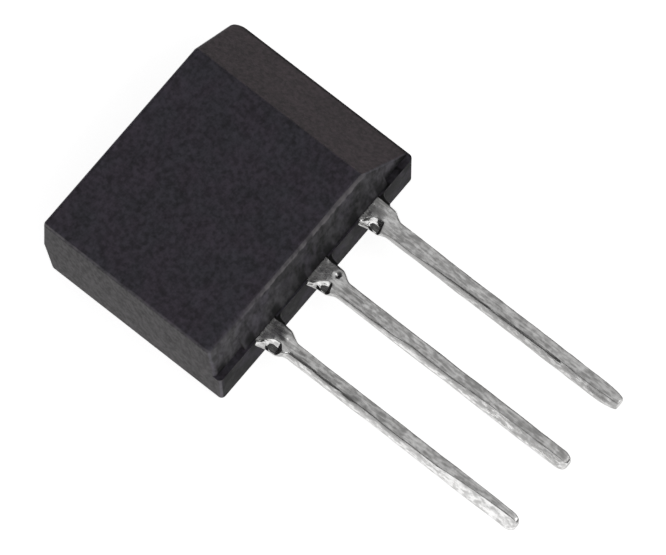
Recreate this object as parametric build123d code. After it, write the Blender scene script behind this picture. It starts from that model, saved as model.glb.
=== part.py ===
from build123d import *
import math
import os

# A triac in a moulded three-lead package, lying on its back as it comes to rest.
# Millimetres. X runs across the leads, the leads point along -Y and +Z is the front face.
# The origin is the middle of the flat back face.

# Moulded body
body_width = 9.5                # across the leads, where the two mould halves meet
body_length = 7.3               # along the leads, where the two mould halves meet
body_thickness = 4.4
parting_height = 2.25           # from the back face to where the two mould halves meet
front_end_draft = 1.6           # drafts are in degrees, from upright
front_far_draft = 4.6
front_lead_side_draft = 3.3
back_end_draft = 0.65
back_far_draft = 2.5
back_lead_side_draft = 3.0
lead_side_step = 0.22           # at both ends the front half stands back from the back half by this
boss_step = 0.06                # between the ends a low boss round the leads closes most of the step
boss_reach = 0.95               # from an outer lead's centre line to the end of the boss
boss_height = 1.2               # above the parting line
slope_width = 1.97              # the wide slope along the gate end, seen from the front
front_corner_radius = 0.15      # upright corners of the front half away from the slope
slope_corner_radius = 0.13      # corners at both ends of the slope
far_slope_corner_radius = 0.45  # plan corner where the slope's far end meets the back half
front_edge_radius = 0.13
back_edge_radius = 0.16         # upright corners and bottom edges of the back half
ejector_mark_diameter = 1.3     # shallow round marks that the ejector pins leave on the back
ejector_mark_depth = 0.06
ejector_mark_spacing = 5.6
ejector_mark_inset = 1.7        # from the far side

# Leads, stamped from one strip
lead_pitch = 2.54
lead_row_offset = 0.047         # the row of leads sits this much nearer the slope
lead_thickness = 0.5
lead_width = 0.53
lead_reach = 10.1               # from the body to the tip
lead_edge_radius = 0.2
shoulder_root_width = 1.02      # where the shoulder leaves the body
shoulder_width = 0.92           # where it starts to narrow
shoulder_length = 0.84          # from the body to where it starts to narrow
shoulder_taper_length = 0.2
shoulder_corner_radius = 0.22
tip_radius = 0.19

# Lead frame inside the body
side_neck_length = 0.85         # from the lead side to the widened posts
post_width = 1.9
post_length = 1.35
lock_hole_diameter = 0.55       # resin fills these holes and locks the side leads in
lock_hole_inset = 0.3           # metal left between a hole and the outer edge of its post
flag_width = 5.9                # the flag carries the chip at the inner end of the centre lead
flag_start = 2.4                # from the lead side to the flag
flag_far_wall = 0.75            # resin between the flag and the far side
flag_floor = 0.7                # resin under the flag
flag_corner = 0.5
jog_run = 0.75                  # length over which the centre lead steps down to the flag

# Chip and its joints
chip_size = 2.5
chip_thickness = 0.26
chip_solder_thickness = 0.05
chip_solder_margin = 0.08       # solder that shows round the chip
moat_inset = 0.16               # from the chip's edge to the glass-filled groove
moat_width = 0.18
moat_depth = 0.07
contact_thickness = 0.03
contact_gap = 0.12              # bare silicon round each contact
gate_contact_size = 0.62
mt1_wire_diameter = 0.3
gate_wire_diameter = 0.15
wire_clearance = 0.5            # height of each wire's loop above the posts
foot_length = 2.2               # bonded foot of a wire, in wire diameters
foot_width = 1.3                # in wire diameters
foot_height = 0.6               # in wire diameters
foot_lap = 0.75                 # share of each foot that the round wire runs into
mt1_wire_on_contact = (-0.25, 0.2)      # from the contact's middle, in contact widths
mt1_wire_on_post = (0.1, 0.25)          # from the middle of the post's near edge, in post sizes
gate_wire_on_post = (-0.25, 0.35)

# Derived places
lead_top = parting_height
lead_bottom = lead_top - lead_thickness
lead_side = -body_length / 2
far_side = body_length / 2
post_start = lead_side + side_neck_length
flag_top = flag_floor + lead_thickness
flag_near_end = lead_side + flag_start
flag_far_end = far_side - flag_far_wall
chip_bottom = flag_top + chip_solder_thickness
chip_top = chip_bottom + chip_thickness
contact_top = chip_top + contact_thickness
jog_drop = lead_bottom - flag_floor
jog_top_shift = lead_thickness * math.tan(math.atan2(jog_drop, jog_run) / 2)
flag_top_start = flag_near_end + jog_top_shift      # where the top of the step down meets the flag
chip_y = (flag_top_start + flag_far_end) / 2
contact_field = chip_size - 2 * (moat_inset + moat_width + contact_gap)


def lean(height, degrees):
    """How far a drafted wall leans in over a height."""
    return height * math.tan(math.radians(degrees))


def rectangle(left, right, near, far, height=0.0):
    """A rectangle at a height, given by its four sides."""
    return Pos((left + right) / 2, (near + far) / 2, height) * Rectangle(right - left, far - near)


def upright_edges(block):
    """The four edges of a mould half that climb from bottom to top, the plain end's two first."""
    return block.edges().filter_by(lambda edge: abs((edge @ 1 - edge @ 0).Z) > 1).sort_by(Axis.X)


def plan_outline(left, right, near, far, height):
    """A mould half's outline at the parting line, with the rounded corner at the slope's far end."""
    outline = rectangle(left, right, near, far, height)
    corner = outline.vertices().sort_by(lambda vertex: vertex.X + vertex.Y)[-1]
    return fillet(corner, far_slope_corner_radius)


def slope_cut():
    """The wedge that the wide slope takes off the front half, from edge to edge."""
    half = body_width / 2
    wedge = Polyline(
        (half - slope_width, body_thickness),
        (half, parting_height),
        (half, body_thickness),
        close=True,
    )
    return extrude(Plane.XZ * make_face(wedge), body_length, both=True)


def front_half():
    """The upper mould half: drafted walls, the wide slope and a stepped-back lead side."""
    height = body_thickness - parting_height
    half = body_width / 2
    top_half = half - lean(height, front_end_draft)
    near = lead_side + lead_side_step
    top_near = near + lean(height, front_lead_side_draft)
    top_far = far_side - lean(height, front_far_draft)
    low = rectangle(-half, half, near, far_side, parting_height)
    high = rectangle(-top_half, top_half, top_near, top_far, body_thickness)
    block = loft([low, high]) - slope_cut()
    block = fillet(upright_edges(block)[:2], front_corner_radius)
    block = fillet(upright_edges(block)[-2:], slope_corner_radius)
    block = fillet(block.faces().sort_by(Axis.Z)[-1].edges(), front_edge_radius)
    block &= extrude(plan_outline(-half, half, lead_side, far_side, parting_height), height)
    return block + (lead_boss(near, top_near) - slope_cut())


def lead_boss(near, top_near):
    """The low boss round the leads, which fills most of the step in the lead side."""
    wall_lean = (top_near - near) * boss_height / (body_thickness - parting_height)
    side = Polyline(
        (lead_side + boss_step, parting_height),
        (near + wall_lean, parting_height + boss_height),
        (near + wall_lean + lead_side_step, parting_height + boss_height),
        (near + lead_side_step, parting_height),
        close=True,
    )
    reach = lead_pitch + boss_reach
    return Pos(lead_row_offset) * extrude(Plane.YZ * make_face(side), reach, both=True)


def back_half():
    """The lower mould half: drafted walls, rounded edges and two ejector marks."""
    half = body_width / 2
    bottom_half = half - lean(parting_height, back_end_draft)
    bottom_near = lead_side + lean(parting_height, back_lead_side_draft)
    bottom_far = far_side - lean(parting_height, back_far_draft)
    low = rectangle(-bottom_half, bottom_half, bottom_near, bottom_far)
    high = rectangle(-half, half, lead_side, far_side, parting_height)
    block = loft([low, high])
    bottom_edges = block.faces().sort_by(Axis.Z)[0].edges()
    block = fillet(upright_edges(block) + bottom_edges, back_edge_radius)
    block &= extrude(plan_outline(-half, half, lead_side, far_side, 0), parting_height)
    mark = Cylinder(ejector_mark_diameter / 2, 2 * ejector_mark_depth)
    for end in (-1, 1):
        block -= Pos(end * ejector_mark_spacing / 2, far_side - ejector_mark_inset) * mark
    return block


def outer_lead(x):
    """One lead from the body to its tip: shoulder, slim lead and rounded tip."""
    root = shoulder_root_width / 2
    waist = shoulder_width / 2
    slim = lead_width / 2
    right = [
        (root, 0),
        (waist, -shoulder_length),
        (slim, -shoulder_length - shoulder_taper_length),
        (slim, -lead_reach),
    ]
    left = [(-across, along) for across, along in reversed(right)]
    outline = make_face(Polyline(*right, *left, close=True))
    corners = outline.vertices().filter_by(lambda vertex: abs(vertex.Y + shoulder_length) < 1e-6)
    outline = fillet(corners, shoulder_corner_radius)
    lead = extrude(Pos(x, lead_side, lead_bottom) * outline, lead_thickness)
    end_faces = lead.faces().filter_by(Axis.Y).sort_by(Axis.Y)
    side_edges = lead.edges().filter_by(lambda edge: abs((edge @ 1 - edge @ 0).Z) < 1e-6)
    end_edges = end_faces[0].edges() + end_faces[-1].edges()
    lead = fillet(side_edges - end_edges, lead_edge_radius)
    return fillet(lead.faces().filter_by(Axis.Y).sort_by(Axis.Y)[0].edges(), tip_radius)


def side_lead(end):
    """The lead at one end: outer lead, neck, and a post with its locking hole."""
    x = end * lead_pitch
    half_neck = shoulder_root_width / 2
    half_post = post_width / 2
    neck = rectangle(x - half_neck, x + half_neck, lead_side, post_start, lead_bottom)
    post = rectangle(x - half_post, x + half_post, post_start, post_start + post_length, lead_bottom)
    hole_x = x + end * (half_post - lock_hole_inset - lock_hole_diameter / 2)
    hole = Pos(hole_x, post_start + post_length / 2, lead_bottom) * Circle(lock_hole_diameter / 2)
    return outer_lead(x) + extrude(neck + post - hole, lead_thickness)


def centre_lead():
    """The centre lead, its step down and the flag that carries the chip."""
    jog_start = flag_near_end - jog_run
    profile = Polyline(
        (lead_side, lead_bottom),
        (jog_start, lead_bottom),
        (flag_near_end, flag_floor),
        (flag_far_end, flag_floor),
        (flag_far_end, flag_top),
        (flag_top_start, flag_top),
        (jog_start + jog_top_shift, lead_top),
        (lead_side, lead_top),
        close=True,
    )
    strip = extrude(Plane.YZ * make_face(profile), flag_width, both=True)
    half_neck = shoulder_root_width / 2
    neck = rectangle(-half_neck, half_neck, lead_side, flag_far_end)
    flag = rectangle(-flag_width / 2, flag_width / 2, flag_top_start, flag_far_end)
    plan = neck + chamfer(flag.vertices(), flag_corner)
    return outer_lead(0) + (strip & extrude(plan, body_thickness))


def chip_block(size, bottom, thickness):
    """A square layer of the chip stack, centred on the flag."""
    return Pos(0, chip_y, bottom + thickness / 2) * Box(size, size, thickness)


def moat_glass():
    """The square ring of glass that seals the edge of the junctions."""
    outer = chip_size - 2 * moat_inset
    inner = outer - 2 * moat_width
    ring = RectangleRounded(outer, outer, moat_width) - Rectangle(inner, inner)
    return extrude(Pos(0, chip_y, chip_top - moat_depth) * ring, moat_depth)


def gate_contact_place():
    """Plan position of the gate contact, in the chip's corner nearest the gate lead."""
    offset = (contact_field - gate_contact_size) / 2
    return offset, chip_y - offset


def contacts():
    """The large main contact with its corner cut out, and the gate contact in that corner."""
    place = Pos(*gate_contact_place(), chip_top)
    cut_out = Rectangle(gate_contact_size + 2 * contact_gap, gate_contact_size + 2 * contact_gap)
    main_face = Pos(0, chip_y, chip_top) * Rectangle(contact_field, contact_field) - place * cut_out
    gate_face = place * Rectangle(gate_contact_size, gate_contact_size)
    return extrude(main_face, contact_thickness), extrude(gate_face, contact_thickness)


def bond_wire(start, end, diameter):
    """A wire bonded from the chip to a post: two flattened feet and an arched loop between them."""
    run = Vector(end[0] - start[0], end[1] - start[1])
    span = run.length
    ahead = run.normalized()
    foot = foot_length * diameter
    climb = lead_top - contact_top
    upright = Plane(origin=(*start, contact_top), x_dir=ahead, z_dir=ahead.cross(Vector(0, 0, 1)))
    path = upright * ThreePointArc(
        (foot - foot_lap * foot, diameter / 2),
        (span / 2, climb + wire_clearance),
        (span - foot + foot_lap * foot, climb + diameter / 2),
    )
    wire = sweep(Plane(origin=path @ 0, z_dir=path % 0) * Circle(diameter / 2), path)
    pressed = Box(foot, foot_width * diameter, foot_height * diameter)
    turn = Rot(0, 0, math.degrees(math.atan2(run.Y, run.X)))
    for along, floor in ((foot / 2, contact_top), (span - foot / 2, lead_top)):
        centre = Vector(*start) + ahead * along
        wire += Pos(centre.X, centre.Y, floor + foot_height * diameter / 2) * turn * pressed
    return wire


def on_post(end, shares):
    """A place on the post at one end, from the middle of its near edge."""
    return end * lead_pitch + shares[0] * post_width, post_start + shares[1] * post_length


def mt1_wire():
    """The thick wire from the main contact to the MT1 post."""
    across, along = mt1_wire_on_contact
    start = (across * contact_field, chip_y + along * contact_field)
    return bond_wire(start, on_post(-1, mt1_wire_on_post), mt1_wire_diameter)


def gate_wire():
    """The thin wire from the gate contact to the gate post."""
    return bond_wire(gate_contact_place(), on_post(1, gate_wire_on_post), gate_wire_diameter)


def build_parts():
    """Every piece of the triac, by its node name."""
    main_contact, gate_contact = contacts()
    glass = moat_glass()
    pieces = {
        "centre_lead_and_flag": centre_lead(),
        "mt1_lead": side_lead(-1),
        "gate_lead": side_lead(1),
        "chip_solder": chip_block(chip_size + 2 * chip_solder_margin, flag_top, chip_solder_thickness),
        "triac_chip": chip_block(chip_size, chip_bottom, chip_thickness) - glass,
        "moat_glass": glass,
        "mt1_contact": main_contact,
        "gate_contact": gate_contact,
        "mt1_wire": mt1_wire(),
        "gate_wire": gate_wire(),
    }
    row = {name: Pos(lead_row_offset) * piece for name, piece in pieces.items()}
    body = front_half() + back_half()
    for piece in row.values():
        body -= piece
    return {"moulded_body": body, **row}


os.makedirs("parts", exist_ok=True)
for name, piece in build_parts().items():
    export_step(piece, f"parts/{name}.step")
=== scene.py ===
# %% [markdown]
# # A triac in a black epoxy case, lying on its back
#
# The case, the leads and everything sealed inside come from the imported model. This lesson gives
# them their finishes, builds the solder coat of the three leads and the resin at their roots, and
# sets up a small light table. Blender works in metres and the maker in millimetres, so one
# constant turns millimetres into metres.

import math

import bmesh
import bpy
from mathutils import Matrix, Vector, noise


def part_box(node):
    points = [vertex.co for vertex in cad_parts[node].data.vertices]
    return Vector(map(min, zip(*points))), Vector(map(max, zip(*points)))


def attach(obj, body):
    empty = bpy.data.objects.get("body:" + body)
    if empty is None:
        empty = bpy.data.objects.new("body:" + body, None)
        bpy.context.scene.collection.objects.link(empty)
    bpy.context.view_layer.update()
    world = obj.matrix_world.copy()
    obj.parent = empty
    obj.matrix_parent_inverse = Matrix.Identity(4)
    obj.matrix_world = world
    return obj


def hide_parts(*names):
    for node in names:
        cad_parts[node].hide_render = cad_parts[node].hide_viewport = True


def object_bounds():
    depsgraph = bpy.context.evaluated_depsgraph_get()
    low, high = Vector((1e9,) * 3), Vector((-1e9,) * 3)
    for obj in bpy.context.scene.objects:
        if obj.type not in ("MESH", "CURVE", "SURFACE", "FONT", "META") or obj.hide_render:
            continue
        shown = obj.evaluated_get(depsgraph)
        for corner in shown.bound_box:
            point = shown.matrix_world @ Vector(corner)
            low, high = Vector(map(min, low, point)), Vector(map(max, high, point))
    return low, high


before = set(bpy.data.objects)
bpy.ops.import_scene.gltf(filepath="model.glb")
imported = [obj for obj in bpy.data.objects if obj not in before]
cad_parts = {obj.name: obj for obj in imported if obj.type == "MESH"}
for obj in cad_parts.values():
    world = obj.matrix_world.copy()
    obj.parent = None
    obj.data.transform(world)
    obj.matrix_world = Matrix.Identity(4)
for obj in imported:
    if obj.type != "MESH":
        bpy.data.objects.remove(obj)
MM = 0.001
cad_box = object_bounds()
print("case and leads span", [round(side / MM, 2) for side in cad_box[1] - cad_box[0]], "mm")

# %% [markdown]
# ## The camera
#
# Small parts are best shown through a long lens from far away, so that their edges stay nearly
# parallel. The camera stands on the leads' side, high above the table, and is turned a little
# round its own axis, so that the leads run down to the right. It could be aimed with a constraint,
# but a fixed place and turn give the same frame every time.

# %% Camera with a long lens
def at(x, y, z):
    """A point given in millimetres."""
    return Vector((x, y, z)) * MM


camera_place = at(-60.01, -72.012, 280.133)
camera_target = at(0.1155, -4.1863, 2.2)
camera_roll = math.radians(-9.2643)
camera_data = bpy.data.cameras.new("long_lens")
camera_data.sensor_width = 36
camera_data.lens = 504.7
camera_data.clip_start = 0.01
camera_data.clip_end = 20
camera = bpy.data.objects.new("camera", camera_data)
bpy.context.scene.collection.objects.link(camera)
toward = camera_target - camera_place
turn = toward.to_track_quat("-Z", "Y").to_matrix() @ Matrix.Rotation(camera_roll, 3, "Z")
camera.matrix_world = Matrix.Translation(camera_place) @ turn.to_4x4()
bpy.context.scene.camera = camera
print("camera stands", round(toward.length, 3), "m from the part")

# %% [markdown]
# ## Shader nodes in one line
#
# A finish is a small network of shader nodes. It could be clicked together by hand, but a script
# can be read and changed. One helper adds a node, sets its fields and fills its inputs, either
# with plain values or with another node's output. A second starts a material and sets the
# shader's own sockets, and a third links a colour, a roughness and a relief to the shader.

# %% Helpers that build a finish
def add_node(tree, kind, inputs=None, **fields):
    """A new node; inputs maps a socket's name or number to a value or to another socket."""
    made = tree.nodes.new(kind)
    for name, value in fields.items():
        setattr(made, name, value)
    for key, value in (inputs or {}).items():
        if isinstance(value, bpy.types.NodeSocket):
            tree.links.new(value, made.inputs[key])
        else:
            made.inputs[key].default_value = value
    return made


def new_finish(name, **sockets):
    """A material with one Principled shader, and its tree."""
    material = bpy.data.materials.new(name)
    material.use_nodes = True
    shader = material.node_tree.nodes["Principled BSDF"]
    for key, value in sockets.items():
        shader.inputs[key.replace("_", " ")].default_value = value
    return material, material.node_tree, shader


def dress(tree, shader, tone, dullness, height, strength, relief):
    """Link a colour, a roughness and a height, whose relief is in metres, to the shader."""
    tree.links.new(tone, shader.inputs["Base Color"])
    tree.links.new(dullness, shader.inputs["Roughness"])
    depth = {"Strength": strength, "Distance": relief, "Height": height}
    tree.links.new(add_node(tree, "ShaderNodeBump", depth).outputs[0], shader.inputs["Normal"])


print("helpers: add_node, new_finish, dress")

# %% [markdown]
# ## Numbers that change over a surface
#
# Real finishes vary from place to place. A few small helpers are enough for all of them here: a
# smooth ramp from one level to another, and sums, products and the greatest of several numbers.

# %% Helpers for numbers
def ramp(tree, value, low, high, at_low=0.0, at_high=1.0):
    """A number that goes smoothly to another level as the value passes from low to high."""
    node = add_node(tree, "ShaderNodeMapRange", {"Value": value}, interpolation_type="SMOOTHSTEP")
    levels = {"From Min": low, "From Max": high, "To Min": at_low, "To Max": at_high}
    for name, number in levels.items():
        node.inputs[name].default_value = number
    return node.outputs["Result"]


def calc(tree, operation, *values):
    """All the values taken together, two at a time, by one kind of step."""
    result = values[0]
    for value in values[1:]:
        step = add_node(tree, "ShaderNodeMath", {0: result, 1: value}, operation=operation)
        result = step.outputs[0]
    return result


def total(tree, *values):
    """The sum of the values."""
    return calc(tree, "ADD", *values)


def product(tree, *values):
    """All the values multiplied together."""
    return calc(tree, "MULTIPLY", *values)


def greatest(tree, *values):
    """The greatest of the values."""
    return calc(tree, "MAXIMUM", *values)


def all_but(tree, share):
    """What a share leaves of the whole."""
    return calc(tree, "SUBTRACT", 1.0, share)


print("helpers: ramp, calc, total, product, greatest, all_but")

# %% [markdown]
# ## Places and grains
#
# A finish has to know where a point lies and which way it faces. Both are read from the part
# itself, so that the finish stays in place from every side. A flat pattern wrapped round the part
# would smear on the edges, but a noise read in millimetres has grains of a known size everywhere.

# %% Helpers for places and grains
def places_in_mm(tree, stretch=(1.0, 1.0, 1.0)):
    """Where a point lies on the part, in millimetres, with an optional stretch."""
    place = add_node(tree, "ShaderNodeTexCoord").outputs["Object"]
    factors = tuple(1 / (MM * share) for share in stretch)
    scaled = add_node(tree, "ShaderNodeVectorMath", {0: place, 1: factors}, operation="MULTIPLY")
    return scaled.outputs[0]


def three_parts(tree, vector):
    """The X, Y and Z of a vector as numbers."""
    node = add_node(tree, "ShaderNodeSeparateXYZ", {0: vector})
    return node.outputs[0], node.outputs[1], node.outputs[2]


def facing(tree):
    """The X, Y and Z of the direction in which the surface faces."""
    return three_parts(tree, add_node(tree, "ShaderNodeNewGeometry").outputs["Normal"])


def grain(tree, places, grain_mm, detail=1.0):
    """A noise round 0.5 with grains of this size."""
    inputs = {"Vector": places, "Scale": 0.62 / grain_mm, "Detail": detail, "Roughness": 0.55}
    return add_node(tree, "ShaderNodeTexNoise", inputs).outputs["Fac"]


print("helpers: places_in_mm, three_parts, facing, grain")

# %% [markdown]
# ## Colours
#
# Colours are linear, as the shader expects them, and most finishes here blend a few close ones.
# The mix node has sockets for numbers, vectors and colours under the same names, so the helper
# takes the ones that are switched on.

# %% Helpers for colours
def blend(tree, share, a, b):
    """Colour a where the share is 0 and colour b where it is 1."""
    node = add_node(tree, "ShaderNodeMix", data_type="RGBA")
    for name, value in (("Factor", share), ("A", a), ("B", b)):
        socket = [s for s in node.inputs if s.name == name and s.enabled][0]
        if isinstance(value, bpy.types.NodeSocket):
            tree.links.new(value, socket)
        else:
            socket.default_value = value
    return [s for s in node.outputs if s.enabled][0]


def colour(red, green, blue):
    """A linear colour for a socket."""
    return (red, green, blue, 1)


def grey(level, warmth=0.0):
    """A linear grey, a little warmer or cooler."""
    return colour(level * (1 + warmth), level, level * (1 - warmth))


print("helpers: blend, colour, grey")

# %% [markdown]
# ## Which steel shaped each face of the case
#
# The case is black epoxy filled with silica sand. The front comes out of the mould pebbly and
# nearly black with a violet cast, the slope a little browner, and the plain end duller. The plain
# end is also painted lighter and greyer, as painted light on the end that faces the left lamp.
# The lead side is the roughest, because flash was trimmed there. Each face could have a material
# of its own, but then the rounded edges between them would show a seam. Instead one material
# reads which way a point faces and turns that into masks that go from 0 to 1.

# %% Epoxy: masks for the faces
epoxy, tree, shader = new_finish("black_epoxy", IOR=1.4)
mm = places_in_mm(tree)
across, along, up = three_parts(tree, mm)
face_x, face_y, face_z = facing(tree)
on_slope = product(tree, ramp(tree, face_x, 0.5, 0.7), ramp(tree, face_z, 0.5, 0.62))
on_plain_end = ramp(tree, face_x, -0.8, -0.97)
on_lead_side = ramp(tree, face_y, -0.8, -0.97)
print("masks use", len(tree.nodes), "nodes")

# %% [markdown]
# ## The grain of the resin
#
# Sand under a thin skin of resin shows as soft blots a tenth of a millimetre wide. Larger patches
# and slow clouds lie over them, and the tint drifts as well. One noise could give all of this, but
# separate ones let each size of grain have its own strength. On the walls every grain but the
# finest is twice as tall as wide, because the case was drawn out of its mould that way.

# %% Epoxy: five sizes of grain
drawn = places_in_mm(tree, (1.0, 1.0, 2.0))
blots = grain(tree, drawn, 0.088, 1.5)
patches = grain(tree, drawn, 0.26, 2.5)
fine = grain(tree, mm, 0.03, 2.0)
clouds = grain(tree, drawn, 1.3, 2.0)
hues = grain(tree, drawn, 0.6, 3.0)
print("grains of resin:", [node.type for node in tree.nodes].count("TEX_NOISE"))

# %% [markdown]
# ## The colours of the case
#
# Every face has its own nearly black tint. Each could be painted on by hand, but the masks lay one
# colour over another just as well, and they keep the change soft wherever two faces meet.

# %% Epoxy: tint of the moulded faces
VIOLET_SKIN, PLUM_SKIN = colour(0.0465, 0.0435, 0.056), colour(0.0505, 0.0415, 0.057)
# The lighter grey of the plain end is painted light, not a tint of the resin.
SLOPE_SKIN, PLAIN_END_LIT_SKIN = colour(0.045, 0.032, 0.037), colour(0.058, 0.055, 0.057)
skin = blend(tree, ramp(tree, hues, 0.35, 0.65), VIOLET_SKIN, PLUM_SKIN)
skin = blend(tree, on_slope, skin, SLOPE_SKIN)
skin = blend(tree, on_plain_end, skin, PLAIN_END_LIT_SKIN)
print("moulded faces use", len(tree.nodes), "nodes so far")

# %% [markdown]
# ## The trimmed lead side
#
# The wall that the leads leave is greyer toward both ends, where the tool scraped it. Its back
# half, below the height where the two halves of the mould met, is painted nearly black as painted
# shade, because it turns away from the light; only the shade painted round the leads is darker.
# Its tints change with the place and not with the way it faces, so this wall is coloured by
# itself and then laid over the others.

# %% Epoxy: tint of the trimmed side
PARTING = 2.25
TRIMMED, TRIMMED_LEFT = colour(0.031, 0.030, 0.0325), colour(0.060, 0.058, 0.062)
TRIMMED_RIGHT, TRIMMED_TINT = colour(0.046, 0.043, 0.049), colour(0.032, 0.027, 0.039)
# Nearly black for the painted shade on the back half of the wall.
BACK_HALF_SHADE = colour(0.004, 0.0035, 0.0045)
trimmed = blend(tree, ramp(tree, across, -1.0, -3.5), TRIMMED, TRIMMED_LEFT)
trimmed = blend(tree, ramp(tree, across, 2.0, 4.0), trimmed, TRIMMED_RIGHT)
trimmed = blend(tree, ramp(tree, up, PARTING + 0.05, PARTING - 0.15), trimmed, BACK_HALF_SHADE)
trimmed = blend(tree, ramp(tree, hues, 0.4, 0.65, 0.0, 0.5), trimmed, TRIMMED_TINT)
skin = blend(tree, on_lead_side, skin, trimmed)
print("the mould halves meet", PARTING, "mm above the table")

# %% [markdown]
# ## Lighter and darker grains
#
# Each grain is a little lighter or darker than the tint of its face: blots by up to two fifths,
# patches and clouds by less, and the trimmed side by far more, except near its left end. The
# sum of them all scales the tint, so the hue stays the same. A floor keeps the darkest
# grains from turning negative.

# %% Epoxy: lighter and darker grains
DARKEST = 0.1
blotchy = ramp(tree, patches, 0.35, 0.65, -0.6, 0.6)
calmer_at_left = ramp(tree, across, -3.6, -2.4, 0.4, 1.0)
lightness = total(
    tree,
    ramp(tree, blots, 0.25, 0.75, -0.38, 0.38),
    ramp(tree, patches, 0.3, 0.7, -0.13, 0.13),
    ramp(tree, clouds, 0.3, 0.7, 0.93, 1.07),
    product(tree, on_lead_side, blotchy, calmer_at_left),
)
lightness = greatest(tree, lightness, DARKEST)
scaled = {0: skin, "Scale": lightness}
resin = add_node(tree, "ShaderNodeVectorMath", scaled, operation="SCALE").outputs[0]
print("the darkest grain keeps", DARKEST, "of its colour")

# %% [markdown]
# ## Painted highlight on the edges
#
# A painted highlight makes the rounded edges of the front lighter, most of all along the middle
# of the lead side. The edges could be found from the curve of the mesh, but that is slow and
# noisy, and the way a point faces and its height find them as well. Patches make the painted
# line uneven.

# %% Epoxy: painted highlight on the edges
# A lighter colour for the painted highlight along the rounded edges of the front.
EDGE_HIGHLIGHT = colour(0.142, 0.133, 0.14)
case_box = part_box("moulded_body")
front_at, lead_side_at = case_box[1].z / MM, case_box[0].y / MM
uneven_up = total(tree, up, ramp(tree, patches, 0.3, 0.7, -0.09, 0.09))
lead_edge = product(
    tree,
    ramp(tree, face_y, -0.35, -0.55),
    ramp(tree, uneven_up, front_at - 0.3, front_at - 0.14),
    ramp(tree, across, -3.2, -2.0, 0.15, 1.0),
    ramp(tree, across, 2.2, 3.4, 1.0, 0.1),
)
end_edge = product(
    tree,
    ramp(tree, face_x, -0.3, -0.42),
    ramp(tree, face_x, -0.85, -0.7),
    ramp(tree, along, 0.0, 3.4, 0.35, 1.0),
    ramp(tree, face_z, 0.25, 0.45),
)
edges = greatest(tree, lead_edge, end_edge)
uneven = ramp(tree, patches, 0.35, 0.6, 0.35, 1.0)
resin = blend(tree, product(tree, edges, uneven), resin, EDGE_HIGHLIGHT)
print("the front lies", round(front_at, 2), "mm above the table")

# %% [markdown]
# ## Painted shade at the rim, in the step and round the leads
#
# A thin line of painted shade runs along the rim of the slope. Painted shade also fills the step
# where the leads come out, most of all next to the gate lead, and darkens the wall on both sides
# of each lead. The leads stand at an even pitch, so one folded distance serves all three patches of
# shade.

# %% Epoxy: painted shade at the rim and round the leads
def lead_middle(name):
    """How far right of the part's middle a lead runs, in millimetres."""
    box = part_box(name)
    return (box[0].x + box[1].x) / 2 / MM


# Near black for the painted shade at the rim, in the step and round the leads.
PAINTED_SHADE_BLACK = colour(0.002, 0.002, 0.0025)
slope_rim_at = case_box[1].x / MM
at_rim = ramp(tree, across, slope_rim_at - 0.13, slope_rim_at - 0.03)
rim = product(tree, at_rim, ramp(tree, up, PARTING - 0.15, PARTING + 0.05))
in_step = product(
    tree,
    ramp(tree, along, lead_side_at + 0.5, lead_side_at + 0.2),
    ramp(tree, up, PARTING + 0.65, PARTING + 0.05),
    ramp(tree, up, PARTING - 0.05, PARTING - 0.01),
)
by_gate = product(
    tree,
    ramp(tree, across, 3.0, 3.5),
    ramp(tree, across, 4.8, 4.2),
    in_step,
    ramp(tree, patches, 0.35, 0.6, 0.3, 1.0),
)
first, last = lead_middle("mt1_lead"), lead_middle("gate_lead")
pitch = (last - first) / 2
from_lead = calc(tree, "PINGPONG", calc(tree, "SUBTRACT", across, first), pitch / 2)
# Painted shadow on the wall on both sides of each lead's root.
root_shade = product(
    tree,
    ramp(tree, from_lead, 0.4, 0.5),
    ramp(tree, from_lead, 0.95, 0.7),
    ramp(tree, up, PARTING + 0.75, PARTING + 0.35),
    ramp(tree, up, PARTING - 0.95, PARTING - 0.55),
    ramp(tree, face_y, -0.6, -0.9),
)
faint_rim, faint_step = product(tree, rim, 0.7), product(tree, in_step, 0.15)
dark = greatest(tree, faint_rim, faint_step, by_gate, product(tree, root_shade, 0.9))
resin = blend(tree, dark, resin, PAINTED_SHADE_BLACK)
print("the leads stand", round(pitch, 2), "mm apart")

# %% [markdown]
# ## Gloss and relief of the case
#
# The resin is satin. The slope is a little duller, and the plain end, the trimmed side and the
# places painted with shade are nearly matt. The same grains raise the surface by about a
# hundredth of a millimetre, most of all on the trimmed side. That is too little for real
# geometry, so a bump node draws it.

# %% Epoxy: gloss and relief
EPOXY_RELIEF = 0.012 * MM
trimmed_dull = ramp(tree, patches, 0.35, 0.65, 0.25, 0.45)
dull = total(
    tree,
    ramp(tree, fine, 0.3, 0.7, 0.56, 0.66),
    product(tree, on_slope, 0.1),
    product(tree, on_plain_end, 0.3),
    product(tree, on_lead_side, trimmed_dull),
    product(tree, dark, 0.3),
)
height = total(
    tree, blots, product(tree, fine, 0.35), product(tree, patches, on_lead_side, 4.0)
)
dress(tree, shader, resin, dull, height, 0.5, EPOXY_RELIEF)
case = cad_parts["moulded_body"]
case.data.materials.clear()
case.data.materials.append(epoxy)
print("epoxy has", len(tree.nodes), "nodes")

# %% [markdown]
# ## Solder on the leads
#
# The leads are stamped copper dipped in solder. The coat is a soft, satin metal: grey, with
# bright and dull spots where flux sat, and fine lines along the flat tops. A plain metal would
# look like chrome, so most of the work here is in the spots and lines, and both are stretched
# along the lead, because the solder drained that way.

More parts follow.
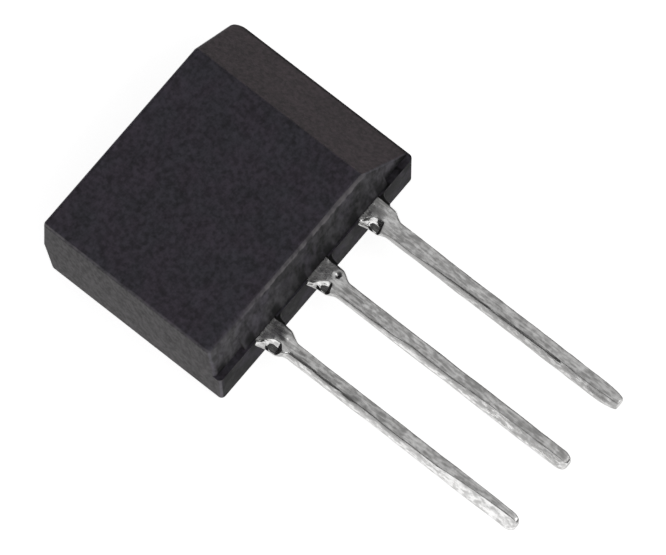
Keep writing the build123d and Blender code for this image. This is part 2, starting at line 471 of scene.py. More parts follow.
# %% Solder coat: spots and lines
SPOT_GREY, PALE_GREY, BLOTCH_GREY = grey(0.46, 0.01), grey(0.88, 0.005), grey(0.42, 0.02)
DARK_LINE, LIGHT_LINE, LEFT_SIDE_GREY = grey(0.38, 0.01), grey(0.95, 0.01), grey(0.40, 0.01)
solder_coat, tree, shader = new_finish("solder_coat", Metallic=1.0, IOR=1.5)
across, along, up = three_parts(tree, places_in_mm(tree))
lengthwise = places_in_mm(tree, (0.7, 6.0, 0.7))
drained_way = places_in_mm(tree, (1.0, 2.2, 1.0))
face_x, face_y, face_z = facing(tree)
flux_spots = grain(tree, drained_way, 0.075, 2.0)
blotches = grain(tree, drained_way, 0.24, 2.0)
lines = grain(tree, lengthwise, 0.06, 1.5)
metal = blend(tree, ramp(tree, flux_spots, 0.32, 0.68), SPOT_GREY, PALE_GREY)
metal = blend(tree, ramp(tree, blotches, 0.35, 0.65, 0.35, 0.0), metal, BLOTCH_GREY)
on_top = ramp(tree, face_z, 0.8, 0.95)
dark_lines = product(tree, on_top, ramp(tree, lines, 0.5, 0.35, 0.0, 0.45))
light_lines = product(tree, on_top, ramp(tree, lines, 0.5, 0.68, 0.0, 0.6))
metal = blend(tree, dark_lines, metal, DARK_LINE)
metal = blend(tree, light_lines, metal, LIGHT_LINE)
# Faces turned far to the left get darker grey spots.
spotty = ramp(tree, flux_spots, 0.65, 0.4, 0.2, 1.0)
metal = blend(tree, product(tree, ramp(tree, face_x, -0.55, -0.8), spotty), metal, LEFT_SIDE_GREY)
print("spots and lines use", len(tree.nodes), "nodes")

# %% [markdown]
# ## The left flank of each lead
#
# On its left each lead slopes down. Its colour there holds painted reflections: a dark one just
# under the top edge, and a pale one of the glowing table lower down and toward the tip. On the
# gate lead the slope is painted dark, most of all near the case. The upright sides are painted a
# darker grey as painted shade, and the underside is painted a brownish dark as painted shade, a
# thin dark outline on the table.

# %% Solder coat: flank, walls and underside
# Painted reflections for the flank, and painted shade for the upright sides and the underside.
PALE_REFLECTION, DARK_REFLECTION, GATE_DARK_REFLECTION = grey(0.9, 0.005), grey(0.27, 0.01), grey(0.3, 0.01)
WALL_SHADE, UNDERSIDE_SHADE = grey(0.30, 0.02), colour(0.16, 0.15, 0.14)
lead_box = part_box("mt1_lead")
lead_top = lead_box[1].z / MM
flank = product(
    tree,
    ramp(tree, face_x, -0.12, -0.4),
    ramp(tree, face_z, 0.97, 0.85),
    ramp(tree, along, lead_side_at - 0.8, lead_side_at - 1.1),
)
far_out = ramp(tree, along, lead_side_at - 5.0, lead_side_at - 7.0)
low = greatest(tree, far_out, ramp(tree, up, lead_top - 0.1, lead_top - 0.24))
pale = product(
    tree,
    flank,
    low,
    ramp(tree, across, 1.6, 1.0, 0.05, 1.0),
    ramp(tree, flux_spots, 0.35, 0.65, 0.2, 0.75),
)
metal = blend(tree, pale, metal, PALE_REFLECTION)
under_edge = ramp(tree, up, lead_top - 0.22, lead_top - 0.04)
high = product(tree, under_edge, all_but(tree, product(tree, far_out, 0.8)))
under_top = product(tree, flank, high, ramp(tree, blotches, 0.35, 0.65, 0.95, 0.5))
metal = blend(tree, under_top, metal, DARK_REFLECTION)
on_gate = ramp(tree, across, 1.2, 1.8)
near_case = ramp(tree, along, lead_side_at - 4.5, lead_side_at - 2.0, 0.35, 0.8)
metal = blend(tree, product(tree, flank, on_gate, near_case), metal, GATE_DARK_REFLECTION)
metal = blend(tree, ramp(tree, face_z, 0.3, 0.05, 0.0, 0.6), metal, WALL_SHADE)
metal = blend(tree, ramp(tree, face_z, -0.1, -0.45), metal, UNDERSIDE_SHADE)
print("the flat tops lie", round(lead_top, 2), "mm above the table")

# %% [markdown]
# ## Gloss and relief of the solder
#
# Pale spots are smoother than dark ones. Solder that ran into the dents of the shoulders set with
# the smoothest skin, so the dents shine more, most of all on their steep banks. Spots and lines
# also raise the surface a little. They could be left flat, but then the reflections would be
# too clean for dipped metal.

# %% Solder coat: gloss and relief
SOLDER_RELIEF = 0.016 * MM
satin = total(
    tree,
    ramp(tree, flux_spots, 0.3, 0.7, 0.34, 0.2),
    ramp(tree, blotches, 0.3, 0.7, 0.06, -0.02),
)
on_shoulder = ramp(tree, along, lead_side_at - 0.75, lead_side_at - 0.55)
in_dent = product(tree, on_shoulder, ramp(tree, up, lead_top - 0.02, lead_top - 0.06))
polish = product(tree, in_dent, ramp(tree, face_z, 0.97, 0.8, 0.1, 0.6))
satin = product(tree, satin, all_but(tree, polish))
height = total(tree, flux_spots, product(tree, lines, 0.5))
dress(tree, shader, metal, satin, height, 0.5, SOLDER_RELIEF)
print("solder coat has", len(tree.nodes), "nodes")

# %% [markdown]
# ## Bare copper of the frame inside
#
# Inside the resin the same strip is bare: rolled copper, with long scratches from the rolls and
# a little heat tint near the chip. An even metal would do for what nobody sees, but the part can
# be shown cut open.

# %% Rolled copper
WORN_COPPER, NEW_COPPER = colour(0.62, 0.30, 0.18), colour(0.80, 0.43, 0.29)
HEAT_TINT, COPPER_RELIEF = colour(0.52, 0.22, 0.16), 0.006 * MM
copper, tree, shader = new_finish("rolled_copper", Metallic=1.0, IOR=1.5)
scratches = grain(tree, places_in_mm(tree, (0.3, 6.0, 0.3)), 0.08, 3.0)
tint = grain(tree, places_in_mm(tree), 0.9, 2.0)
metal = blend(tree, ramp(tree, scratches, 0.3, 0.7), WORN_COPPER, NEW_COPPER)
metal = blend(tree, ramp(tree, tint, 0.45, 0.75, 0.0, 0.6), metal, HEAT_TINT)
dull = ramp(tree, scratches, 0.3, 0.7, 0.38, 0.22)
dress(tree, shader, metal, dull, scratches, 0.3, COPPER_RELIEF)
print("copper has", len(tree.nodes), "nodes")

# %% [markdown]
# ## A lead as a stack of rings
#
# Solder doesn't keep the sharp shape of the stamped strip: it rounds the edges, swells where it
# drained and leaves a dent on the shoulder. A bevel would round the strip but couldn't change its
# outline, so each lead is drawn as rings along its length. All sizes are in millimetres. The first
# line gives half widths: the shoulder at the case, the shoulder at its end, and the right side of
# the slim part. The second gives distances from the case: the end of the shoulder, the start of
# the slim part and the first ring, which stands inside, and then how far in the solder reaches.

# %% Sizes of a dipped lead
SHOULDER_ROOT, SHOULDER_END, SLIM_RIGHT = 0.52, 0.46, 0.25
SHOULDER_LONG, NARROW_AT, START, SOAKED = 0.84, 1.04, -0.1, 0.6
LEAD_TOP, LEAD_UNDER = lead_top, lead_box[0].z / MM
LEAD_MIDDLE = (LEAD_TOP + LEAD_UNDER) / 2
REACH = (case_box[0].y - lead_box[0].y) / MM
print("leads reach", round(REACH, 2), "mm and are", round(LEAD_TOP - LEAD_UNDER, 2), "mm thick")

# %% [markdown]
# ## Sizes that change along a lead
#
# Nearly every size of a lead changes with the distance from the case. Sudden changes would show
# as kinks, so one helper rises smoothly between two distances, and the others find numbers and
# points in between. The last two give the half width, which follows the shoulder and then
# narrows, and say how far a place belongs to the slim part.

# %% Helpers for sizes along a lead
def smooth(value, low, high):
    """0 up to low, 1 from high on, and a smooth rise between them."""
    share = min(max((value - low) / (high - low), 0.0), 1.0)
    return share * share * (3 - 2 * share)


def between(pair, share):
    """The number that lies this share of the way from the first to the second."""
    return pair[0] + (pair[1] - pair[0]) * share


def mixed(first, second, share):
    """A point that lies this share of the way from the first to the second."""
    return tuple(between(pair, share) for pair in zip(first, second))


def along_lead(pairs, run):
    """A number that changes straight from one (distance, number) pair to the next."""
    for (start, low), (end, high) in zip(pairs, pairs[1:]):
        if run < end:
            return between((low, high), max((run - start) / (end - start), 0.0))
    return pairs[-1][1]


def side(run, slim):
    """How far a lead's side stands from its middle at a distance from the case."""
    share = min(max(run, 0.0) / SHOULDER_LONG, 1.0)
    shoulder = between((SHOULDER_ROOT, SHOULDER_END), share)
    return between((shoulder, slim), smooth(run, SHOULDER_LONG - 0.2, NARROW_AT + 0.08))


def slimness(run):
    """0 on the shoulder and 1 on the slim part."""
    return smooth(run, SHOULDER_LONG, NARROW_AT + 0.1)


print("the shoulder is", round(2 * side(0, SLIM_RIGHT), 2), "mm wide at the case")

# %% [markdown]
# ## The left side of a ring
#
# A ring has a flat top, a sloping left flank, and rounded corners below. The flank bulges near
# the shoulder and is straight near the tip. On the shoulder it gives way to the dent: a steep
# bank, a shallow floor and the outer lip. Both are four points, so one can turn into the other
# along the lead without a break in the mesh.

# %% Two kinds of flank
SHOULDER_DROP, LEAST_FLOOR, LIP_DROP = 0.12, 0.06, 0.04


def plain_flank(run, lead):
    """Four points (x, z) from the flat top down the left slope."""
    left, slim, straight = side(run, lead["left"]), slimness(run), smooth(run, *lead["straight"])
    edge = along_lead(lead["edge"], run) + left - lead["left"]
    fall = lead["crown"][1] * slim * (1 - straight)
    drop = between((SHOULDER_DROP, lead["drop"]), slim)
    points = []
    for bend, line in zip(((0, 0), *lead["flank"], (1, 1)), (0, 1 / 3, 2 / 3, 1)):
        out, down = between((bend[0], line), straight), between((bend[1], line), straight)
        points.append((-edge - (left - edge) * out, LEAD_TOP - fall - (drop - fall) * down))
    return points


def dented_flank(run, lead):
    """Four points (x, z) down the bank, along the floor and over the lip of the dent."""
    deep = lead["dent"] * between((0.2, 1.0), smooth(run, -0.1, 0.6))
    bank = between(lead["bank"], smooth(run, *lead["bank_turn"]))
    edge = side(run, lead["left"]) + 0.1 * smooth(run, 0.4, -0.1)
    foot = min(bank + lead["bank_wide"], edge - LEAST_FLOOR)
    lip = between(lead["lip"], smooth(run, 0.2, 0.5))
    low = LEAD_TOP - deep - lead["floor"]
    inner = [(-bank, LEAD_TOP), (-foot, LEAD_TOP - deep)]
    return inner + [(-edge + lip, low), (-edge, low - LIP_DROP - lip)]


print("a flank is given by 4 points, with or without a dent")

# %% [markdown]
# ## The whole outline of a ring
#
# The right side is simpler: a rounded top corner and an upright wall. Every corner has a radius
# of its own, because solder pulls some edges rounder than others. At the tip the outline shrinks
# toward the middle, which makes the blunt end.

# %% Outline of a ring
def tip_size(run, lead):
    """1 along the lead, and less from where the tip starts to close."""
    into_tip = max(run - (REACH - lead["tip_long"]), 0.0) / lead["tip_long"]
    kept = max(1 - into_tip ** lead["tip_bend"], 0.0) ** (1 / lead["tip_bend"])
    return between((lead["tip_blunt"], 1.0), kept)


def section(run, lead):
    """Corners of the outline, clockwise from the lower end of the flank: x, z, radius."""
    left, right = side(run, lead["left"]), side(run, SLIM_RIGHT)
    slim, straight = slimness(run), smooth(run, *lead["straight"])
    dent = smooth(run, lead["dent_end"], lead["dent_end"] - lead["dent_wall"])
    soft = between((lead["radius"], 0.06), straight)
    rounded = ((soft, 0.04), (0.12, 0.04), (0.12, 0.07), (0.12, 0.12))
    radii = [between(pair, dent) for pair in rounded]
    pairs = zip(plain_flank(run, lead), dented_flank(run, lead), radii)
    corners = [(*mixed(plain, dented, dent), radius) for plain, dented, radius in pairs][::-1]
    corners += [(lead["crown"][0], LEAD_TOP, 0.2), (right, LEAD_TOP, between((0.12, 0.07), slim))]
    under_left = -left + between((0.07, 0.0), slim)
    corners += [(right, LEAD_UNDER, 0.14), (under_left, LEAD_UNDER, 0.12)]
    close = tip_size(run, lead)
    upright = between((1.0, close), 0.8)
    return [
        (x * close, LEAD_MIDDLE + (z - LEAD_MIDDLE) * upright, radius) for x, z, radius in corners
    ]


print("a ring has 8 corners, 4 of them on its left")

# %% [markdown]
# ## From corners to a ring of points
#
# Every corner becomes a short curve. Its ends lie on the two sides that meet there, and a
# quadratic curve joins them, which looks like a drawn fillet and never crosses itself. Every
# ring has the same number of points, so neighbouring rings can be joined by plain four-sided
# faces.

# %% One ring of a lead
CURVE_STEPS, TOP_STEPS, OTHER_STEPS, TOP_CORNERS = 6, 5, 3, (3, 4)
SHORTEST_CURVE, LARGEST_SHARE = 0.015, 0.48


def ring(corners):
    """Points round the outline: a curve at every corner and a few points between."""
    arcs = []
    for number, (x, z, radius) in enumerate(corners):
        here = Vector((x, z))
        before = Vector(corners[number - 1][:2]) - here
        after = Vector(corners[(number + 1) % len(corners)][:2]) - here
        turned = math.pi - before.angle(after)
        reach = max(radius * math.tan(turned / 2), SHORTEST_CURVE)
        reach = min(reach, LARGEST_SHARE * before.length, LARGEST_SHARE * after.length)
        start, end = here + before.normalized() * reach, here + after.normalized() * reach
        shares = [step / CURVE_STEPS for step in range(CURVE_STEPS + 1)]
        arcs.append([start * (1 - t) ** 2 + here * 2 * t * (1 - t) + end * t ** 2 for t in shares])
    points = []
    for number, arc in enumerate(arcs):
        points += arc
        last, end = arc[-1], arcs[(number + 1) % len(arcs)][0]
        flats = TOP_STEPS if number in TOP_CORNERS else OTHER_STEPS
        points += [last + (end - last) * step / flats for step in range(1, flats)]
    return points


print("a corner becomes", CURVE_STEPS + 1, "points")

# %% [markdown]
# ## What the solder adds
#
# A drip sits where the shoulder narrows, the top sinks a little toward the case, and slow waves
# run along the whole lead. The waves could come from a displace modifier, but a noise that is
# read at each point, from a seed of the lead's own, keeps the drips and waves in one place.

# %% Drips and waves of the solder
SLOW_WAVE, QUICK_WAVE = 0.012, 0.006
SLOW_ACROSS, SLOW_ALONG, QUICK_ACROSS, QUICK_ALONG = 3.0, 0.9, 9.0, 2.2


def solder_shift(x, run, z, half, lead):
    """How far a point moves sideways and up because of the solder."""
    upper = smooth(z, LEAD_UNDER + 0.2, LEAD_TOP - 0.05)
    shift_z = -lead["lean"] * upper * smooth(run, 0.75, 0.0)
    for drip_x, drip_run, radius, height in lead["drips"]:
        behind = 0.3 if run < drip_run and height > 0 else 1.0
        away = math.hypot(x - drip_x, (run - drip_run) * behind) / radius
        shift_z += upper * height * math.exp(-2 * away ** 2)
    seed = lead["seed"]
    slow = noise.noise((x * SLOW_ACROSS + seed, run * SLOW_ALONG, z * SLOW_ACROSS))
    quick = noise.noise((x * QUICK_ACROSS + seed, run * QUICK_ALONG, z * QUICK_ACROSS + 5))
    settle = smooth(run, 0.0, 0.15) * (1 - 0.6 * smooth(run, REACH - 0.3, REACH))
    swell = settle * (SLOW_WAVE * slow + QUICK_WAVE * quick)
    outward = 1 if z > LEAD_MIDDLE else -1
    return swell * max(min(x / half, 1.0), -1.0), shift_z + swell * outward


print("waves are up to", round(SLOW_WAVE + QUICK_WAVE, 3), "mm high")

# %% [markdown]
# ## Where the rings stand
#
# The shoulder and its dent change quickly, so rings stand close together there and further apart
# along the slim part. At the tip they crowd together again, as they would round a quarter circle.

# %% Stations along a lead
ROOT_RINGS, ROOT_GAP, SLIM_GAP, TIP_RINGS = 48, 0.03, 0.06, 14


def stations(lead):
    """Distances from the case at which rings are set."""
    runs = [START + ROOT_GAP * step for step in range(ROOT_RINGS)]
    while runs[-1] < REACH - lead["tip_long"] - SLIM_GAP:
        runs.append(runs[-1] + SLIM_GAP)
    start, left = runs[-1], REACH - runs[-1]
    turns = [math.pi / 2 * step / TIP_RINGS for step in range(1, TIP_RINGS + 1)]
    return runs + [start + left * math.sin(turn) for turn in turns]


print("a lead with a short tip has", len(stations({"tip_long": 0.34})), "rings")

# %% [markdown]
# ## Joining the coat to the frame
#
# One lead is a single piece from its tip to its post in the resin. The part outside is the
# stack of rings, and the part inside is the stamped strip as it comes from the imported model, cut
# off just inside the case. Solder crept a little way along the strip, so the coat reaches
# further in than the cut, and bare copper starts behind it. Both finishes sit on one mesh and
# each face says which it wears.

# %% The stamped strip inside the case
def cut_across(shape, place_y, **fields):
    """Cut the shape by an upright plane across the leads."""
    everything = shape.verts[:] + shape.edges[:] + shape.faces[:]
    return bmesh.ops.bisect_plane(
        shape, geom=everything, dist=1e-8, plane_co=(0, place_y, 0), plane_no=(0, -1, 0), **fields
    )


def inner_strip(node):
    """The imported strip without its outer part, with solder (0) in front and copper (1) behind."""
    shape = bmesh.new()
    shape.from_mesh(node.data)
    bmesh.ops.remove_doubles(shape, verts=shape.verts, dist=1e-7)
    made = cut_across(shape, case_box[0].y - START * MM, clear_outer=True)
    rim_edges = [item for item in made["geom_cut"] if isinstance(item, bmesh.types.BMEdge)]
    bmesh.ops.edgeloop_fill(shape, edges=rim_edges)
    dipped_to = case_box[0].y + SOAKED * MM
    cut_across(shape, dipped_to)
    for face in shape.faces:
        face.material_index = 1 if face.calc_center_median().y > dipped_to else 0
        face.smooth = False
    return shape


print("solder reaches", SOAKED, "mm into the case")

# %% [markdown]
# ## The coat round one lead
#
# The rings are set one behind another and joined by rows of four-sided faces, and the first and
# last ring are closed. A loft tool would do the same, but here each point is moved by the
# solder's drips and waves before it is set.

# %% The coat round one lead
def add_coat(shape, lead):
    """Add the stack of rings, closed at both ends, to the shape."""
    middle, rings = lead_middle(lead["node"]), []
    for run in stations(lead):
        points = []
        half = side(run, SLIM_RIGHT)
        for x, z in ring(section(run, lead)):
            dx, dz = solder_shift(x, run, z, half, lead)
            place = Vector((middle + x + dx, case_box[0].y / MM - run, z + dz))
            points.append(shape.verts.new(place * MM))
        rings.append(points)
    count = len(rings[0])
    for one, two in zip(rings, rings[1:]):
        for step in range(count):
            after = (step + 1) % count
            face = shape.faces.new((one[step], one[after], two[after], two[step]))
            face.smooth = True
    shape.faces.new(reversed(rings[0]))
    shape.faces.new(rings[-1])


print("the coat starts", round(-START, 2), "mm inside the case")

# %% [markdown]
# ## From a shape to a piece
#
# A shape becomes a visible piece when it has a mesh, an object and its finishes. A dipped lead
# then says that it rides on the part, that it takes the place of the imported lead, and what it is
# made of.

# %% One dipped lead
def piece_from(shape, name, *finishes):
    """A new object with the mesh of the shape and its finishes."""
    bmesh.ops.recalc_face_normals(shape, faces=shape.faces)
    mesh = bpy.data.meshes.new(name)
    shape.to_mesh(mesh)
    shape.free()
    for finish in finishes:
        mesh.materials.append(finish)
    made = bpy.data.objects.new(name, mesh)
    bpy.context.scene.collection.objects.link(made)
    print(name, "has", len(mesh.polygons), "faces")
    return made


def dipped_lead(lead):
    """The solder-coated lead and its bare inner frame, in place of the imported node."""
    shape = inner_strip(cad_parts[lead["node"]])
    add_coat(shape, lead)
    piece = piece_from(shape, lead["piece"], solder_coat, copper)
    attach(piece, "root")
    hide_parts(lead["node"])


print("a dipped lead wears", solder_coat.name, "and", copper.name)

# %% [markdown]
# ## Three leads, each with its own run of solder
#
# No two leads drain alike, so each has sizes of its own, in millimetres. `left` is the left half
# width of the slim part, `lean` is how far the top sinks toward the case, and `edge` gives the
# left end of the flat top at several distances. `drop` and `flank` shape the slope, `straight`
# says over which distances it becomes even, and `radius` rounds its upper edge. `crown` is where
# the top is highest and how far it falls from there. `bank`, `dent`, `floor` and `lip` shape the
# dent, and the three `tip` sizes close the end. `drips` lists place across, distance, radius and
# height, and a height below zero is a pit.

# %% The three leads
leads = [
    {
        "node": "mt1_lead", "piece": "dipped_mt1_lead", "seed": 3.0, "left": 0.27, "lean": 0.05,
        "edge": ((1.0, 0.10), (3.5, 0.11), (5.0, 0.15), (7.0, 0.13), (8.2, 0.02), (9.5, -0.04)),
        "drop": 0.34, "flank": ((0.5, 0.12), (0.85, 0.45)), "straight": (3.0, 5.0),
        "radius": 0.2, "crown": (0.14, 0.035),
        "bank": (0.46, 0.08), "bank_turn": (-0.15, 0.5), "bank_wide": 0.14,
        "dent": 0.17, "floor": 0.08, "lip": (0.15, 0.02), "dent_end": 0.85, "dent_wall": 0.2,
        "tip_long": 0.34, "tip_blunt": 0.35, "tip_bend": 2.0,
        "drips": [(0.16, 0.64, 0.17, 0.055), (-0.1, 3.1, 0.1, 0.02)],
    },
    {
        "node": "centre_lead_and_flag", "piece": "dipped_centre_lead_and_flag", "seed": 11.0,
        "left": 0.30, "lean": 0.045,
        "edge": ((1.0, 0.27), (3.2, 0.25), (3.8, 0.16), (5.5, 0.17), (7.0, 0.1), (9.5, 0.08)),
        "drop": 0.3, "flank": ((0.38, 0.2), (0.72, 0.58)), "straight": (1.8, 3.4),
        "radius": 0.2, "crown": (0.1, 0.05),
        "bank": (0.42, 0.1), "bank_turn": (0.0, 0.6), "bank_wide": 0.13,
        "dent": 0.16, "floor": 0.08, "lip": (0.14, 0.02), "dent_end": 0.8, "dent_wall": 0.16,
        "tip_long": 0.34, "tip_blunt": 0.35, "tip_bend": 2.0,
        "drips": [(0.21, 0.61, 0.11, -0.06), (0.0, 5.2, 0.12, 0.015)],
    },
    {
        "node": "gate_lead", "piece": "dipped_gate_lead", "seed": 23.0, "left": 0.34, "lean": 0.035,
        "edge": (
            (1.0, 0.33), (2.0, 0.32), (3.2, 0.24), (4.2, 0.18),
            (5.8, 0.15), (7.2, 0.11), (8.5, 0.16),
        ),
        "drop": 0.3, "flank": ((0.45, 0.09), (0.7, 0.5)), "straight": (7.4, 8.4),
        "radius": 0.06, "crown": (0.1, 0.012),
        "bank": (0.48, 0.08), "bank_turn": (-0.2, 0.42), "bank_wide": 0.17,
        "dent": 0.21, "floor": 0.08, "lip": (0.13, 0.03), "dent_end": 0.78, "dent_wall": 0.14,
        "tip_long": 0.8, "tip_blunt": 0.6, "tip_bend": 1.6,
        "drips": [(0.1, 0.95, 0.16, 0.01)],
    },
]
for lead in leads:
    dipped_lead(lead)

# %% [markdown]
# ## Resin that crept out along the leads
#
# At the parting line a little resin always escapes round the leads and sets as a small fillet
# in the corner between lead and case. It was trimmed on the left of each lead and stayed on the
# right. It is painted nearly black, far blacker than the case, as painted shade in that corner.
# It is dull and faintly speckled, so it has a material of its own instead of sharing the resin of
# the case.

# %% Finish of the crept resin
# The near black of the fillets is painted shade in the corner at each lead's root.
CREPT_SHADE_BLACK, CREPT_SPECK, CREPT_RELIEF = grey(0.001), grey(0.012), 0.01 * MM
crept, tree, shader = new_finish("crept_resin", IOR=1.4)
specks = grain(tree, places_in_mm(tree), 0.07, 2.0)
black = blend(tree, ramp(tree, specks, 0.3, 0.7), CREPT_SHADE_BLACK, CREPT_SPECK)
dress(tree, shader, black, ramp(tree, specks, 0.3, 0.7, 0.7, 0.95), specks, 0.4, CREPT_RELIEF)
print("crept resin has", len(tree.nodes), "nodes")

# %% [markdown]
# ## Outline of a fillet
#
# Each fillet is a small wedge with a hollow side: two straight sides lie against the case and the
# lead, and a quarter of an ellipse joins them. Resin pulls itself into that curve between two
# walls. All three have the same outline, each with its own width and length in millimetres.

# %% Outline of a fillet
FILLETS = ((0.2, 0.34), (0.17, 0.36), (0.19, 0.4))
INTO_LEAD, INTO_CASE, HOLLOW_STEPS, FILLET_GAP = 0.1, 0.06, 6, 0.05


def fillet_outline(wide, long):
    """Points (x from the lead's middle, distance from the case) round one fillet."""
    outline = [(SHOULDER_ROOT - INTO_LEAD, -INTO_CASE), (SHOULDER_ROOT + wide, -INTO_CASE)]
    for step in range(HOLLOW_STEPS + 1):
        bend = math.pi / 2 * step / HOLLOW_STEPS
        across_it, out_of_it = wide * (1 - math.sin(bend)), long * (1 - math.cos(bend))
        outline.append((SHOULDER_ROOT + across_it, out_of_it))
    return outline + [(SHOULDER_ROOT - INTO_LEAD, long)]


print("fillets are up to", max(long for wide, long in FILLETS), "mm long")

# %% [markdown]
# ## Fillets at the roots
#
# The outline is drawn twice, low and high on the lead, and joined by a wall. The three wedges
# share one piece, because they are one run of resin. Their sharp edges could be drawn round, but
# a bevel modifier does it in one step and keeps the mesh easy to read.

# %% Three fillets in one piece
shape = bmesh.new()
for lead, size in zip(leads, FILLETS):
    rows = []
    for z in (LEAD_UNDER + FILLET_GAP, LEAD_TOP - FILLET_GAP):
        row = []
        for x, run in fillet_outline(*size):
            spot = (lead_middle(lead["node"]) + x, case_box[0].y / MM - run, z)
            row.append(shape.verts.new(Vector(spot) * MM))
        rows.append(row)
    below, above = rows
    for step in range(len(below)):
        after = (step + 1) % len(below)
        shape.faces.new((below[step], below[after], above[after], above[step]))
    shape.faces.new(reversed(below))
    shape.faces.new(above)
fillets = piece_from(shape, "resin_fillets", crept)
rounding = fillets.modifiers.new("rounding", "BEVEL")
rounding.width, rounding.segments = 0.02 * MM, 2
rounding.limit_method, rounding.angle_limit = "ANGLE", math.radians(40)
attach(fillets, "root")
print("edges are rounded by", round(rounding.width / MM, 3), "mm")

# %% [markdown]
# ## The chip and what is bonded to it
#
# Nobody sees the chip once it is sealed, but the part can be shown cut open, so each sealed
# piece has its own finish: dull solder, polished silicon, cloudy glass, evaporated aluminium and
# bright drawn wire. They differ only in tones, grain and gloss, so one function makes them all.

# %% Finishes of the sealed pieces
def sealed_finish(name, tones, grain_mm, gloss, relief, metallic, stretch=(1, 1, 1), **sockets):
    """A finish with two tones, a grain size in millimetres, a gloss range and a relief in metres.
    The stretch makes the grains longer along an axis, as drawing does on a wire."""
    material, tree, shader = new_finish(name, Metallic=metallic, **sockets)
    places = places_in_mm(tree, stretch)
    coarse = grain(tree, places, grain_mm, 2.0)
    small = grain(tree, places, grain_mm / 4, 2.0)
    tone = blend(tree, ramp(tree, coarse, 0.3, 0.7), *tones)
    height = total(tree, coarse, product(tree, small, 0.4))
    dress(tree, shader, tone, ramp(tree, small, 0.3, 0.7, *gloss), height, 0.4, relief)
    print(name, "has", len(tree.nodes), "nodes")
    return material


SOLDER_TONES, SILICON_TONES = (grey(0.34, 0.02), grey(0.5)), (grey(0.11, -0.12), grey(0.15, -0.05))
GLASS_TONES = (colour(0.22, 0.33, 0.30), colour(0.36, 0.46, 0.42))
ALUMINIUM_TONES, WIRE_TONES = (grey(0.72), grey(0.84)), (grey(0.76), grey(0.9))
WIRE_STRETCH = (4.0, 4.0, 0.6)
soft_solder = sealed_finish("soft_solder", SOLDER_TONES, 0.15, (0.35, 0.55), 8e-6, 1.0)
silicon = sealed_finish("silicon", SILICON_TONES, 0.5, (0.08, 0.16), 1e-6, 0.6, IOR=3.4)
fused_glass = sealed_finish(
    "fused_glass", GLASS_TONES, 0.08, (0.12, 0.25), 3e-6, 0.0, IOR=1.52, Coat_Weight=0.4
)
aluminium = sealed_finish("evaporated_aluminium", ALUMINIUM_TONES, 0.05, (0.28, 0.42), 2e-6, 1.0)
drawn_wire = sealed_finish("drawn_wire", WIRE_TONES, 0.04, (0.16, 0.3), 1.5e-6, 1.0, WIRE_STRETCH)

# %% [markdown]
# ## Which sealed piece wears which finish
#
# Both contacts are the same evaporated metal and both wires are drawn the same way, so they share
# a finish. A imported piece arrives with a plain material, which is cleared before it gets its own.

# %% Give the sealed pieces their finishes
sealed = {
    "chip_solder": soft_solder, "triac_chip": silicon, "moat_glass": fused_glass,
    "mt1_contact": aluminium, "gate_contact": aluminium,
    "mt1_wire": drawn_wire, "gate_wire": drawn_wire,
}
for name, finish in sealed.items():
    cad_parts[name].data.materials.clear()
    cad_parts[name].data.materials.append(finish)
print("finished", len(sealed), "sealed pieces")

# %% [markdown]
# ## A glowing table
#
# The part lies on opal glass lit from below, so the background is plain white and the part
# throws no shadow. The glowing glass also lights the ends of the case and the sides of the
# leads from below. A white floor under lamps would do as well, but it would keep a soft shadow.

# %% Light table
def flat_disc(name, radius, height):
    """A flat round sheet."""
    mesh = bpy.data.meshes.new(name)
    shape = bmesh.new()
    bmesh.ops.create_circle(shape, cap_ends=True, segments=96, radius=radius)
    bmesh.ops.translate(shape, verts=shape.verts, vec=(0, 0, height))
    shape.to_mesh(mesh)
    shape.free()
    thing = bpy.data.objects.new(name, mesh)
    bpy.context.scene.collection.objects.link(thing)
    return thing


TABLE_RADIUS, BELOW_PART, TABLE_GLOW = 3.0, 0.01 * MM, 0.8
table = flat_disc("light_table", TABLE_RADIUS, cad_box[0].z - BELOW_PART)
opal, _, shader = new_finish("opal_glass", Base_Color=grey(0.8), Roughness=0.6)
shader.inputs["Emission Color"].default_value = grey(1.0)
shader.inputs["Emission Strength"].default_value = TABLE_GLOW
table.data.materials.append(opal)
print("light table is", round(table.dimensions.x, 1), "m wide")

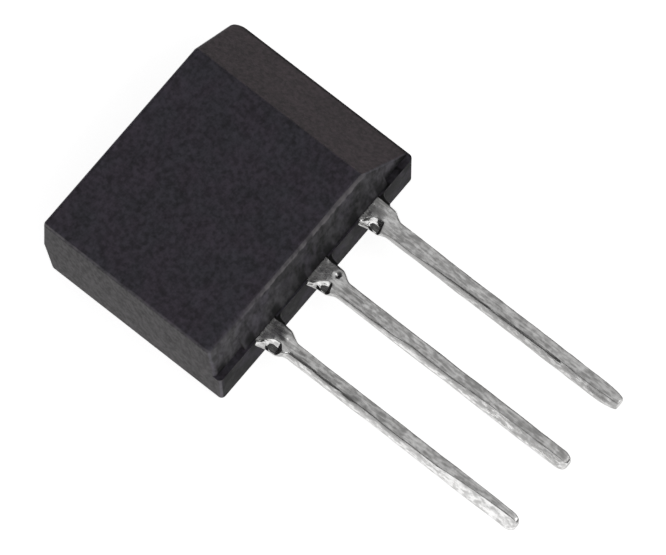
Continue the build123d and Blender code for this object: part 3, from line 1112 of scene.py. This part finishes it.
# %% [markdown]
# ## The room round the table
#
# Polished metal shows the room, so the room is kept simple: a pale ceiling straight above, a
# little further to the right, and darker walls. The ceiling gives the flat tops of the leads
# their grey, and the gap between it and the lamps draws the dark line along their edges. Real
# walls would do the same, but a world that only changes with height needs no meshes.

# %% Ceiling and walls
WALL_LIGHT, CEILING_LIGHT, CEILING_LEAN = 0.06, 0.56, 0.35
world = bpy.data.worlds.new("studio")
bpy.context.scene.world = world
world.use_nodes = True
tree = world.node_tree
sky = add_node(tree, "ShaderNodeTexCoord").outputs["Generated"]
sky_x, _, sky_z = three_parts(tree, sky)
overhead = total(tree, sky_z, product(tree, sky_x, CEILING_LEAN))
ceiling = ramp(tree, overhead, 0.8, 0.94, WALL_LIGHT, CEILING_LIGHT)
tree.links.new(ceiling, tree.nodes["Background"].inputs["Strength"])
tree.nodes["Background"].inputs["Color"].default_value = grey(1.0)
print("the ceiling is", round(CEILING_LIGHT / WALL_LIGHT, 1), "times as bright as the walls")

# %% [markdown]
# ## Soft studio light
#
# Two soft lamps are enough. A softbox on the lead side brightens the front edge of the case, and
# a long low card on the left shines along the flanks of the leads. Both are far larger than the
# part, so nothing on it has a hard highlight.

# %% Lamps
def softbox(name, azimuth, elevation, distance, width, height, radiance):
    """A soft lamp that faces the part. Azimuth 0 is towards -Y and 90 towards +X."""
    data = bpy.data.lights.new(name, "AREA")
    data.shape = "RECTANGLE"
    data.size = width
    data.size_y = height
    data.energy = radiance * math.pi * width * height
    lamp = bpy.data.objects.new(name, data)
    bpy.context.scene.collection.objects.link(lamp)
    a, e = math.radians(azimuth), math.radians(elevation)
    away = Vector((math.sin(a) * math.cos(e), -math.cos(a) * math.cos(e), math.sin(e)))
    lamp.location = camera_target + away * distance
    lamp.rotation_mode = "QUATERNION"
    lamp.rotation_quaternion = away.to_track_quat("Z", "Y")
    lamp.visible_camera = False
    print(name, "stands", distance, "m away at", elevation, "degrees")


LAMP_AWAY = 0.6
softbox("lead_side_box", -5, 54, LAMP_AWAY, width=0.45, height=0.22, radiance=2.0)
softbox("left_card", -75, 14, LAMP_AWAY, width=1.4, height=0.34, radiance=1.1)
bpy.context.scene.view_settings.view_transform = "Standard"
